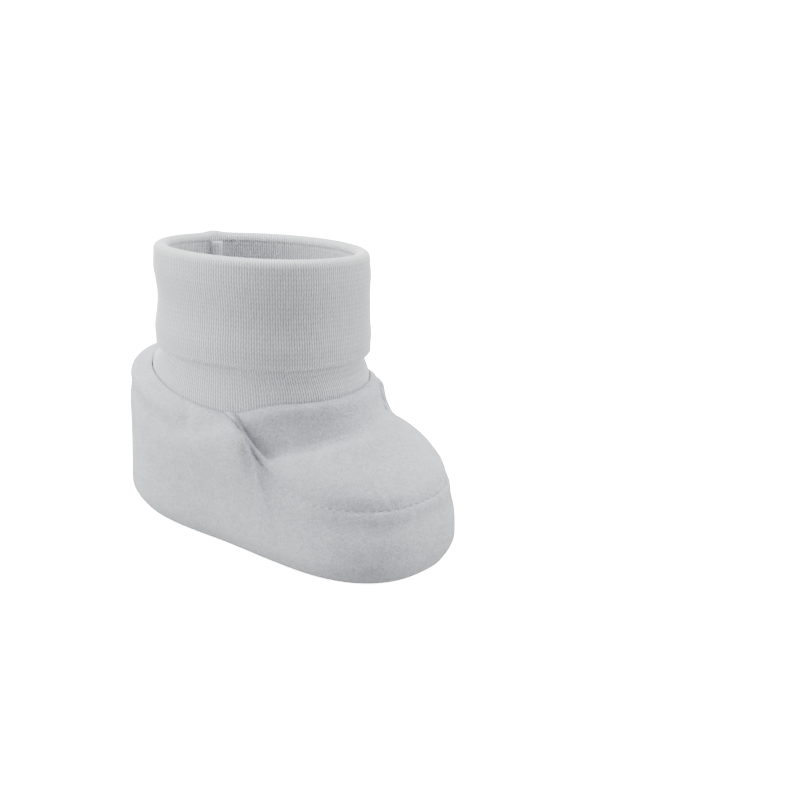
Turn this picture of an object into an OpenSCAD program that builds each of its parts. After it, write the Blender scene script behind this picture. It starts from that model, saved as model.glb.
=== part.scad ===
// Baby bootie: a padded velour foot sewn to a rib-knit ankle tube with a turned-down cuff.
// Millimetres. +Z is up, the toe points to -Y, the sole rests on z = 0.
// Every cloth ply is its own solid. Going in from the outside they are velour, wadding, lining.
// A place on the foot is an angle round it (0 = right side, 90 = heel, 270 = toe), a height
// or a share of the way up, and a depth below the outer face.

/* [Foot] */
// Length of the foot from toe to heel
foot_length = 108; // [90:0.5:130]
// Width of the foot at the middle
foot_width = 60.5; // [50:0.5:74]
// Height of the seam between side wall and vamp at the toe
toe_height = 22; // [18:0.5:27]
// Height of the ankle edge at the sides, where the vamp seam ends
side_height = 41; // [36:0.5:48]
// How much higher the ankle edge is at the heel
heel_rise = 3.5; // [0:0.5:8]
// How much higher the ankle edge is over the instep
front_rise = 5; // [2:0.5:8]

/* [Cuff] */
// Height of the cuff's top above its bottom hem
cuff_depth = 30.5; // [20:0.5:34]
// Gap in height between the side of the ankle edge and the hem
hem_clearance = 10.5; // [8:0.5:16]
// How much the hem leans up towards the toe, in degrees
hem_tilt = 4.9; // [0:0.1:6]
// How much the hem slouches towards the right, in degrees
hem_slouch = 6.5; // [0:0.1:8]
// How much the rim leans up towards the toe, in degrees
rim_tilt = 6; // [0:0.1:8]
// How much the rim slouches towards the right, in degrees
rim_slouch = 9; // [0:0.1:10]

/* [Cloth] */
// Thickness of the velour with its pile
velour = 1.8; // [1.2:0.1:2.2]
// Thickness of the wadding in the walls
wadding = 2; // [1.2:0.1:2.4]
// Thickness of the wadding under the foot
sole_wadding_depth = 3; // [2:0.1:5]
// Thickness of the jersey lining
lining = 0.6; // [0.4:0.1:0.9]
// Thickness of one doubled layer of rib knit
knit = 1.8; // [1.2:0.1:2.1]
// Thickness of the sewing thread, with its dimple in the pile
thread = 0.7; // [0.4:0.1:1]

/* [Hidden] */
// Gaps that keep neighbouring plies apart
ply_gap = 0.3;
slide_gap = 0.3;

// Plan of the foot: 2 is an ellipse, more is squarer
heel_squareness = 2.8;
toe_squareness = 2.45;
heel_taper = 0.04;

// Side of the foot: tucked under at the sole, fullest at the bulge, leaning in above it
bottom_tuck = 2.4;
bulge_height = toe_height * 0.32;
toe_lean = 1.5;

// Ankle edge, an oval set back from the middle
ankle_rx = foot_width * 0.437;
ankle_ry = foot_length * 0.324;
ankle_y = foot_length * 0.106;
collar_roll = 5;
collar_height = 6.5;
collar_start = 0.78;
collar_end = 0.94;
vamp_dome = 1.15;

// Vamp seam: leaves the ankle edge this far in front of the sides and drops to the toe
corner_angle = 16;
seam_run = foot_length * 0.148;
seam_sharpness = 3;
seam_mitre = 0.45;
seam_blend = foot_length * 0.2;

// Depths of the ply faces below the outer face
wadding_out = velour + ply_gap;
wadding_in = wadding_out + wadding;
lining_out = wadding_in + ply_gap;
lining_in = lining_out + lining;
padding_drop = collar_roll + velour + 2 * ply_gap;

// Heights of the plies under the foot
wall_foot = velour + ply_gap;
insole_bottom = wall_foot + sole_wadding_depth + ply_gap;

// Cuff and tube ovals
cuff_rx = foot_width * 0.465;
cuff_ry = foot_length * 0.31;
cuff_y = foot_length * 0.102;
hem_height = side_height + hem_clearance;
rim_height = hem_height + cuff_depth;
rim_roll = (2 * knit + slide_gap) / 2;
tube_inset = knit + slide_gap;
tube_tuck = padding_drop - 2 * slide_gap;
tube_front_tuck = collar_height + lining_in;
seam_ridge_angle = 68;
seam_ridge_half_width = 4;
seam_ridge_depth = 1.2;

// Stitches
stitch_pitch = 5;
stitch_reach = 1.5;

// Steps round the foot
back_step = 5;
front_steps = 32;
$fn = 16;

// ---- Small maths ----

function clamp01(q) = min(max(q, 0), 1);
function smooth(q) = let (c = clamp01(q)) c * c * (3 - 2 * c);
function mix(a, b, k) = a * (1 - k) + b * k;
function signed_power(a, e) = sign(a) * pow(abs(a), e);

// ---- Angles round the foot, all starting at the heel ----

function front_angle(i) =
    let (u = 2 * i / front_steps - 1)
    270 + (90 - corner_angle) * (u + sin(90 * u)) / 2;

front_angles = [for (i = [0:front_steps]) front_angle(i)];
left_angles = [for (t = [90:back_step:179 + corner_angle]) t];
right_angles = [for (t = [360 - corner_angle + back_step:back_step:449]) t];
ring_angles = concat(left_angles, front_angles, right_angles);

// ---- The foot's surface ----

function is_back(t) = sin(t) >= -sin(corner_angle) - 0.0001;

// Plan outline drawn in by a depth
function outline(t, depth) =
    let (
        power = 2 / (sin(t) > 0 ? heel_squareness : toe_squareness),
        y = (foot_length / 2 - depth) * signed_power(sin(t), power),
        taper = 1 - heel_taper * (smooth(0.5 + y / foot_length) - 0.5),
        x = (foot_width / 2 - depth) * taper * signed_power(cos(t), power)
    )
    [x, y];

function ankle_ring(t, depth = 0) =
    [(ankle_rx - depth) * cos(t), ankle_y + (ankle_ry - depth) * sin(t)];

corner_y = outline(180 + corner_angle, 0)[1];

// 1 where the wall runs up to the ankle edge, falling to 0 at the toe
function ankle_share(t) =
    is_back(t) ? 1
    : pow(clamp01(1 - (corner_y - outline(t, 0)[1]) / seam_run), seam_sharpness);

function ankle_z(t) =
    let (s = sin(t), s0 = -sin(corner_angle))
    side_height + (is_back(t)
        ? heel_rise * pow(clamp01((s - s0) / (1 - s0)), 1.5)
        : front_rise * smooth(1.5 * (s0 - s) / (1 + s0)));

function wall_top(t) =
    is_back(t) ? ankle_z(t) : mix(toe_height, side_height, ankle_share(t));

// Top of the side wall at a depth: a mitre at the vamp seam, level round the ankle
function ply_top(t, depth) = wall_top(t) - depth * mix(seam_mitre, 1, ankle_share(t));

// Top of the wadding and lining, which stop below the rolled ankle edge
function padding_top(t, depth) =
    wall_top(t) - mix(seam_mitre * depth, padding_drop, ankle_share(t));

function wall_point(t, z, depth) =
    let (
        top = ply_top(t, depth),
        tuck = bottom_tuck * pow(1 - clamp01(z / bulge_height), 2),
        lean = toe_lean * (1 - smooth(0.5 + sin(t) / 2))
            * pow(clamp01((z - bulge_height) / (top - bulge_height)), 2),
        plan = outline(t, tuck + lean + depth),
        roll = max(collar_roll - depth, 1),
        rolled = 1 - sqrt(1 - pow(clamp01((z - top + roll) / roll), 2)),
        sloped = pow(clamp01((z / top - 0.25) / 0.75), 2),
        backness = smooth((outline(t, 0)[1] - corner_y) / seam_blend),
        share = ankle_share(t) * mix(sloped, rolled, backness),
        xy = mix(plan, ankle_ring(t), share)
    )
    [xy[0], xy[1], z];

// Vamp from its seam (s = 0) up to the ankle edge (s = 1)
function vamp_point(t, s, depth) =
    let (
        start = wall_point(t, ply_top(t, depth), depth),
        end_z = ankle_z(t) - depth,
        valley_z = max(end_z - collar_height, start[2]),
        domed = 1 - pow(1 - clamp01(s / collar_start), vamp_dome),
        rise = smooth((s - collar_start) / (collar_end - collar_start)),
        lift = ply_gap / 2 * (1 - ankle_share(t)) * (1 - s),
        xy = mix([start[0], start[1]], ankle_ring(t), s)
    )
    [xy[0], xy[1], mix(mix(start[2], valley_z, domed), end_z, rise) + lift];

// Wadding and lining of the vamp, which run on under the collar
function vamp_padding_point(t, s, depth) =
    let (
        start = wall_point(t, padding_top(t, depth), depth),
        valley_z = ankle_z(t) - collar_height - depth,
        domed = 1 - pow(1 - clamp01(s / collar_start), vamp_dome),
        xy = mix([start[0], start[1]], ankle_ring(t), s)
    )
    [xy[0], xy[1], mix(start[2] + ply_gap / 2, valley_z, domed)];

// ---- The ankle tube and its cuff ----

function cuff_ring(t, depth) =
    [(cuff_rx - depth) * cos(t), cuff_y + (cuff_ry - depth) * sin(t)];

// Height of a level of the cuff that leans up towards the toe and down to the right
function leaning(t, level, tilt, slouch) =
    let (p = cuff_ring(t, 0))
    level - (p[1] - cuff_y) * tan(tilt) - p[0] * tan(slouch);

function hem_z(t) = leaning(t, hem_height, hem_tilt, hem_slouch);

function rim_z(t) = leaning(t, rim_height, rim_tilt, rim_slouch);

function tube_bottom(t) =
    let (frontness = smooth((-sin(t) - sin(corner_angle + 5)) / 0.25))
    ankle_z(t) - mix(tube_tuck, tube_front_tuck, frontness);

function tube_top(t) = rim_z(t) - rim_roll - slide_gap;

// Tube wall: straight in the ankle edge, drawn in to the cuff above it
function tube_point(t, z, depth) =
    let (
        drawn = smooth((z - ankle_z(t)) / (hem_z(t) - ankle_z(t))),
        xy = mix(ankle_ring(t, ply_gap + depth), cuff_ring(t, tube_inset + depth), drawn)
    )
    [xy[0], xy[1], z];

// Heights up the tube: in the ankle edge, along the flare, under the cuff
function tube_levels(t) = concat(
    [tube_bottom(t)],
    [for (q = [0:0.2:1]) mix(ankle_z(t), hem_z(t), q)],
    [for (q = [0.5, 1]) mix(hem_z(t), tube_top(t), q)]);

// ---- Solids from columns of points ----

// Each column is one loop of points round a cut through the cloth: up the outer face and
// down the inner face. Columns follow one another round the foot.
module cloth(columns, closed = true) {
    loop = len(columns[0]);
    count = len(columns);
    points = [for (column = columns) each column];
    sides = [for (c = [0:count - (closed ? 1 : 2)]) for (k = [0:loop - 1])
        let (
            a = c * loop + k,
            b = c * loop + (k + 1) % loop,
            next = ((c + 1) % count - c) * loop
        )
        each [[a, b, b + next], [a, b + next, a + next]]];
    // A strip of quads across the loop closes an open end
    strip = [for (k = [0:loop / 2 - 2])
        each [[k, loop - 1 - k, k + 1], [k + 1, loop - 1 - k, loop - 2 - k]]];
    last = (count - 1) * loop;
    ends = closed ? [] : concat(
        strip,
        [for (f = strip) [f[0] + last, f[2] + last, f[1] + last]]);
    polyhedron(points = points, faces = concat(sides, ends));
}

// Height of a share of the way up a wall: the first quarter lies below the bulge
function wall_level(q, foot, top) =
    q < 0.25 ? mix(foot, bulge_height, q * 4) : mix(bulge_height, top, (q - 0.25) / 0.75);

// One column of a wall ply between two depths
function wall_column(t, outer, inner, foot, tops, shares) = concat(
    [for (q = shares) wall_point(t, wall_level(q, foot, tops[0]), outer)],
    [for (i = [len(shares) - 1:-1:0])
        wall_point(t, wall_level(shares[i], foot, tops[1]), inner)]);

// One thread crossing a seam from one point to the other
module stitch(from, to) {
    run = to - from;
    length = norm(run);
    translate(from)
        rotate([0, acos(run[2] / length), atan2(run[1], run[0])])
            cylinder(h = length, d = thread);
}

// Angles spaced about one stitch pitch apart along a ring of points
function travel(ring) = [for (i = 0, sum = 0; i < len(ring);
    sum = sum + (i + 1 < len(ring) ? norm(ring[i + 1] - ring[i]) : 0), i = i + 1) sum];
function spaced(angles, ring) =
    let (way = travel(ring), count = floor(way[len(way) - 1] / stitch_pitch))
    [for (n = [0.5:count - 0.5])
        lookup(n * way[len(way) - 1] / count, [for (i = [0:len(way) - 1]) [way[i], angles[i]]])];

// ---- Sole ----

module flat_ply(depth, bottom, thick) {
    translate([0, 0, bottom])
        linear_extrude(height = thick)
            polygon([for (t = ring_angles) outline(t, depth)]);
}

module sole() {
    color("gainsboro") flat_ply(bottom_tuck, 0, velour);
}

module sole_wadding() {
    color("white") flat_ply(wadding_in + ply_gap + bottom_tuck, wall_foot, sole_wadding_depth);
}

module insole_lining() {
    color("whitesmoke") flat_ply(lining_in + 2 * ply_gap, insole_bottom, lining);
}

// ---- Side wall, a strip whose two ends meet at the heel ----

// Rows up the walls: below the bulge, up the side, and round the rolled edge
low_shares = [0, 0.08, 0.16];
wall_shares = concat(low_shares, [for (q = [0.25:0.155:0.72]) q],
    [for (a = [0:15:90]) 0.87 + 0.13 * sin(a)]);
padding_shares = concat(low_shares, [for (q = [0.25:0.15:1]) q]);
heel_slit = 0.1;

module side_wall() {
    strip = concat([90 + heel_slit], [for (i = [1:len(ring_angles) - 1]) ring_angles[i]],
        [450 - heel_slit]);
    drop = ply_gap / 2;
    color("lightgray") cloth([for (t = strip)
        let (down = drop * (1 - ankle_share(t)))
        wall_column(t, 0, velour, wall_foot,
            [ply_top(t, 0) - down, ply_top(t, velour) - down], wall_shares)], closed = false);
}

module side_wall_wadding() {
    color("white") cloth([for (t = ring_angles)
        wall_column(t, wadding_out, wadding_in, wall_foot,
            [padding_top(t, wadding_out), padding_top(t, wadding_in)], padding_shares)]);
}

module side_wall_lining() {
    color("whitesmoke") cloth([for (t = ring_angles)
        wall_column(t, lining_out, lining_in, insole_bottom,
            [padding_top(t, lining_out), padding_top(t, lining_in)], padding_shares)]);
}

// ---- Vamp ----

vamp_shares = concat([for (i = [0:6]) i * 0.12], [0.78, 0.82, 0.86, 0.9, 0.94, 1]);
vamp_padding_shares = [0, 0.12, 0.26, 0.42, 0.6, 0.78, 0.97];
// Columns left out at each end, where the vamp is too narrow to be padded
padding_skip = 2;

module vamp() {
    rows = len(vamp_shares);
    color("gainsboro") cloth([for (t = front_angles) concat(
        [for (s = vamp_shares) vamp_point(t, s, 0)],
        [for (i = [rows - 1:-1:0]) vamp_point(t, vamp_shares[i], velour)])], closed = false);
}

module vamp_padding(outer, inner) {
    rows = len(vamp_padding_shares);
    cloth([for (i = [padding_skip:front_steps - padding_skip]) concat(
        [for (s = vamp_padding_shares) vamp_padding_point(front_angles[i], s, outer)],
        [for (k = [rows - 1:-1:0])
            vamp_padding_point(front_angles[i], vamp_padding_shares[k], inner)])],
        closed = false);
}

module vamp_wadding() {
    color("white") vamp_padding(wadding_out, wadding_in);
}

module vamp_lining() {
    color("whitesmoke") vamp_padding(lining_out, lining_in);
}

// ---- Ankle tube ----

function tube_column(t, outer, inner, levels) = concat(
    [for (z = levels) tube_point(t, z, outer)],
    [for (i = [len(levels) - 1:-1:0]) tube_point(t, levels[i], inner)]);

module ankle_tube() {
    color("silver") cloth([for (t = ring_angles) tube_column(t, 0, knit, tube_levels(t))]);
}

// Seam allowance of the tube, a soft ridge up its inner face
module tube_seam_ridge() {
    inner = knit + ply_gap / 2;
    color("silver") cloth([for (u = [-1:0.5:1])
        let (
            t = seam_ridge_angle + seam_ridge_half_width * u,
            levels = [for (i = [1:len(tube_levels(t)) - 1]) tube_levels(t)[i]],
            swell = seam_ridge_depth * mix(0.25, 1, cos(90 * u))
        )
        tube_column(t, inner, inner + swell, levels)], closed = false);
}

// ---- Cuff, the turned-down top of the tube ----

// Cut through the cuff: [depth, height above the hem or below the rim]
function cuff_column(t) =
    let (
        hem = hem_z(t),
        top = rim_z(t) - rim_roll,
        fold = 2 * rim_roll,
        edge = knit / 2
    )
    concat(
        [for (a = [0:45:180]) [edge * (1 - cos(a)), hem + edge * (1 - sin(a))]],
        [[knit, top], [fold, top]],
        [for (a = [0:30:180]) [rim_roll * (1 + cos(a)), top + rim_roll * sin(a)]]);

module cuff_band() {
    color("silver") cloth([for (t = ring_angles)
        [for (p = cuff_column(t)) concat(cuff_ring(t, p[0]), [p[1]])]]);
}

// ---- Stitches ----

module sole_seam_stitches() {
    ring = concat(ring_angles, [450]);
    angles = spaced(ring, [for (t = ring) outline(t, 0)]);
    color("white") for (t = angles)
        stitch(concat(outline(t, bottom_tuck), [thread / 2 + 0.2]),
            wall_point(t, wall_foot + stitch_reach, 0));
}

module heel_seam_stitches() {
    count = floor((wall_top(90) - collar_roll - wall_foot) / stitch_pitch);
    color("white") for (n = [1:count])
        let (p = wall_point(90, wall_foot + n * stitch_pitch, thread / 4))
        stitch(p - [stitch_reach, 0, 0], p + [stitch_reach, 0, 0]);
}

module vamp_seam_stitches() {
    inner = [for (i = [1:front_steps - 1]) front_angles[i]];
    angles = spaced(inner, [for (t = inner) wall_point(t, wall_top(t), 0)]);
    color("white") for (t = angles)
        stitch(wall_point(t, wall_top(t) - stitch_reach, 0), vamp_point(t, 0.06, 0));
}

module ankle_seam_stitches() {
    ring = concat(ring_angles, [450]);
    angles = spaced(ring, [for (t = ring) ankle_ring(t)]);
    color("white") for (t = angles)
        let (z = ankle_z(t) - velour / 2)
        stitch(concat(ankle_ring(t, -ply_gap), [z]), tube_point(t, z, knit + thread / 4));
}

sole();
sole_wadding();
insole_lining();
side_wall();
side_wall_wadding();
side_wall_lining();
vamp();
vamp_wadding();
vamp_lining();
ankle_tube();
tube_seam_ridge();
cuff_band();
sole_seam_stitches();
heel_seam_stitches();
vamp_seam_stitches();
ankle_seam_stitches();
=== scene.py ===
"""The looks of a baby bootie: a padded velour foot with a rib-knit ankle and a turned-down cuff.

The foot's surface follows the same rules as the CAD part, at a finer step, with its main sizes
read from the frame's boxes. A place on the foot is an angle round it (0 = right side, 90 = heel,
270 = toe), a height or share of the way up, and a depth below the outer face. Metres throughout,
+Z up, toe at -Y.
"""

import logging
import math
from dataclasses import dataclass, field
from enum import Enum
from typing import Callable

import bmesh
import bpy
import numpy as np
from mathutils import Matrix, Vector


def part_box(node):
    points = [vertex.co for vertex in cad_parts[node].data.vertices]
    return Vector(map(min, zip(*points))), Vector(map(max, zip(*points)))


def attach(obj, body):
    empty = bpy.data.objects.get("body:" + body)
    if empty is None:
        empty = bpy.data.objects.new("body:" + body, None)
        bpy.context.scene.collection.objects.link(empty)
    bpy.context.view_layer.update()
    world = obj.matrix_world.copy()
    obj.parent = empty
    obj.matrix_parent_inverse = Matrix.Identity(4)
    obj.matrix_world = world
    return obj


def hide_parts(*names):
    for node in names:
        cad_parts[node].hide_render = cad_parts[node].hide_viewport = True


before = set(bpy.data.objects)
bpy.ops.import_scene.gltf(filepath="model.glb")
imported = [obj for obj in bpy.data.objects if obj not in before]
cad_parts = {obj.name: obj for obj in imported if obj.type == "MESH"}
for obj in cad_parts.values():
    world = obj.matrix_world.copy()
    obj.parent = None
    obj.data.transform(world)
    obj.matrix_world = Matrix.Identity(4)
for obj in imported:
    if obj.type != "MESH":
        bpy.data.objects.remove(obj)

LOG = logging.getLogger("bootie")
MM = 0.001
HEEL = math.radians(90)
TOE = math.radians(270)
TURN = 2 * math.pi


# ---- Small maths ----


def unit(values: np.ndarray) -> np.ndarray:
    """Values held between 0 and 1."""
    return np.clip(values, 0.0, 1.0)


def smooth(values: np.ndarray) -> np.ndarray:
    """A smooth step from 0 to 1."""
    held = unit(values)
    return held * held * (3 - 2 * held)


def mix(a: np.ndarray, b: np.ndarray, share: np.ndarray) -> np.ndarray:
    """A blend from a to b."""
    return a * (1 - share) + b * share


def bell(values: np.ndarray, centre: float, spread: float) -> np.ndarray:
    """A smooth bump of height 1 round a centre."""
    return np.exp(-(((values - centre) / spread) ** 2))


def turn_gap(angle: np.ndarray, centre: float) -> np.ndarray:
    """How far an angle is from a centre, signed and in radians, the short way round."""
    return (angle - centre + math.pi) % TURN - math.pi


def waves(values: np.ndarray, pitch: float, seed: int) -> np.ndarray:
    """A wandering ripple along a length, as hand-fed cloth makes.

    Args:
        values: Lengths in metres.
        pitch: Mean distance between crests.
        seed: Fixes where the crests fall.

    Returns:
        Heights from about -1 to 1.
    """
    random = np.random.default_rng(seed)
    total = np.zeros_like(values)
    for factor in (0.61, 1.0, 1.37):
        total += np.cos(TURN * values * factor / pitch + random.uniform(0, TURN)) / 3
    return total


def spread_rows(points: np.ndarray, rows: int, columns: int, wrap: bool) -> np.ndarray:
    """Refines a grid of points with smooth cubic curves through the coarse ones.

    Args:
        points: Coarse grid, rows x columns x 3.
        rows: Rows wanted.
        columns: Columns wanted.
        wrap: Whether the last column is followed by the first.

    Returns:
        The fine grid, rows x columns x 3.
    """

    def along(grid: np.ndarray, count: int, closed: bool) -> np.ndarray:
        """Refines the first axis of a grid."""
        last = len(grid) if closed else len(grid) - 1
        where = np.linspace(0, last, count, endpoint=not closed)
        low = np.minimum(where.astype(int), last - 1)
        part = (where - low)[:, None, None]

        def pick(step: int) -> np.ndarray:
            """Rows a step away, run on in a straight line past an open end."""
            index = low + step
            if closed:
                return grid[index % len(grid)]
            inside = grid[np.clip(index, 0, last)]
            over = (index - np.clip(index, 0, last))[:, None, None]
            edge = np.where(over > 0, grid[last] - grid[last - 1], grid[1] - grid[0])
            return inside + over * edge

        a, b, c, d = pick(-1), pick(0), pick(1), pick(2)
        return b + 0.5 * part * (
            c - a + part * (2 * a - 5 * b + 4 * c - d + part * (3 * (b - c) + d - a))
        )

    fine = along(points, rows, False)
    return along(fine.swapaxes(0, 1), columns, wrap).swapaxes(0, 1)


def grid_normals(points: np.ndarray, wrap: bool) -> np.ndarray:
    """Unit normals of a grid whose rows go up and whose columns go round, facing outwards."""
    up = np.gradient(points, axis=0)
    if wrap:
        round_ = (np.roll(points, -1, axis=1) - np.roll(points, 1, axis=1)) / 2
    else:
        round_ = np.gradient(points, axis=1)
    normal = np.cross(round_, up)
    return normal / np.maximum(np.linalg.norm(normal, axis=2, keepdims=True), 1e-12)


def travel(points: np.ndarray, axis: int) -> np.ndarray:
    """Distance travelled along one axis of a grid of points, from its first row or column."""
    steps = np.linalg.norm(np.diff(points, axis=axis), axis=2)
    return np.concatenate([np.zeros_like(steps.take([0], axis)), steps], axis).cumsum(axis)


# ---- Meshes ----


class Body(Enum):
    """The two rigid bodies of the frame."""

    FOOT = "foot"
    CUFF = "cuff"


class Slot(Enum):
    """The record's material slots."""

    VELOUR = "velour"
    WADDING = "wadding"
    JERSEY = "jersey"
    RIB = "rib_knit"
    THREAD = "thread"


def mesh_object(name: str, vertices: np.ndarray, faces: np.ndarray) -> bpy.types.Object:
    """Makes a smooth mesh object in the scene from vertices and quads."""
    mesh = bpy.data.meshes.new(name)
    mesh.from_pydata(vertices.tolist(), [], faces.tolist())
    mesh.polygons.foreach_set("use_smooth", np.ones(len(mesh.polygons), dtype=bool))
    mesh.update()
    piece = bpy.data.objects.new(name, mesh)
    bpy.context.scene.collection.objects.link(piece)
    return piece


def loop_piece(name: str, points: np.ndarray, wrap: bool, uv: np.ndarray) -> bpy.types.Object:
    """Makes a closed piece from a grid whose rows form closed loops round a cut through the cloth.

    Args:
        name: The piece's name.
        points: Loop x columns x 3, up the outer face and down the inner one.
        wrap: Whether the columns close into a ring; if not, both ends are capped.
        uv: (loop + 1) x (columns + 1, or columns if open) x 2, in metres.

    Returns:
        The object, with its UV map.
    """
    loop, columns = points.shape[:2]
    spans = columns if wrap else columns - 1
    k, c = np.meshgrid(np.arange(loop), np.arange(spans), indexing="ij")
    corners = [(k, c), (k, c + 1), (k + 1, c + 1), (k + 1, c)]
    faces = np.stack([(a % loop) * columns + b % columns for a, b in corners], -1).reshape(-1, 4)
    uvs = np.stack([uv[a, b] for a, b in corners], 2).reshape(-1, 4, 2)
    if not wrap:
        rung = np.arange(loop // 2 - 1)
        strip = np.stack([rung, rung + 1, loop - 2 - rung, loop - 1 - rung], -1)
        ends = [strip * columns, strip[:, ::-1] * columns + columns - 1]
        faces = np.concatenate([faces, *ends])
        uvs = np.concatenate([uvs] + [np.zeros((len(strip), 4, 2))] * 2)
    piece = mesh_object(name, points.reshape(-1, 3), faces)
    layer = piece.data.uv_layers.new(name="UVMap")
    layer.data.foreach_set("uv", uvs.reshape(-1))
    if not wrap:
        merge_corners(piece)
    return piece


def merge_corners(piece: bpy.types.Object) -> None:
    """Merges corners that share a place, as where a seam runs out to a point."""
    body = bmesh.new()
    body.from_mesh(piece.data)
    bmesh.ops.remove_doubles(body, verts=body.verts, dist=0.0001 * MM)
    body.to_mesh(piece.data)
    body.free()


def cloth_uv(points: np.ndarray, wrap: bool) -> np.ndarray:
    """UVs in metres for a looped grid: u round the piece at its middle row, v round the loop."""
    loop, columns = points.shape[:2]
    closed = np.concatenate([points, points[:1]])
    v = travel(closed, 0).mean(axis=1)
    ring = points[loop // 4][None]
    if wrap:
        ring = np.concatenate([ring, ring[:, :1]], axis=1)
    u = travel(ring, 1)[0]
    return np.stack(np.broadcast_arrays(u[None, :], v[:, None]), -1)


def shell(name: str, outer: np.ndarray, inner: np.ndarray, wrap: bool) -> bpy.types.Object:
    """A closed ply between an outer and an inner grid of the same size."""
    points = np.concatenate([outer, inner[::-1]])
    return loop_piece(name, points, wrap, cloth_uv(points, wrap))


def place(
    piece: bpy.types.Object, body: Body, slot: Slot, nodes: tuple[str, ...], finish: "Finish"
) -> None:
    """Dresses a finished piece and ties it to the frame.

    Args:
        piece: The finished object.
        body: The body it moves with.
        slot: The record's slot; not used.
        nodes: CAD nodes that it stands for.
        finish: The material to give it.
    """
    piece.data.materials.clear()
    piece.data.materials.append(finish.material())
    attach(piece, body.value)
    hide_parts(*nodes)
    triangles = sum(len(face.vertices) - 2 for face in piece.data.polygons)
    LOG.info("%s: %d triangles, stands for %s", piece.name, triangles, ", ".join(nodes))


def baked(piece: bpy.types.Object) -> None:
    """Turns a piece with modifiers into a plain mesh without them."""
    view = bpy.context.evaluated_depsgraph_get()
    view.update()
    mesh = bpy.data.meshes.new_from_object(piece.evaluated_get(view))
    old = piece.data
    piece.modifiers.clear()
    piece.data = mesh
    bpy.data.meshes.remove(old)
    mesh.name = piece.name


# ---- The foot's form ----


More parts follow.
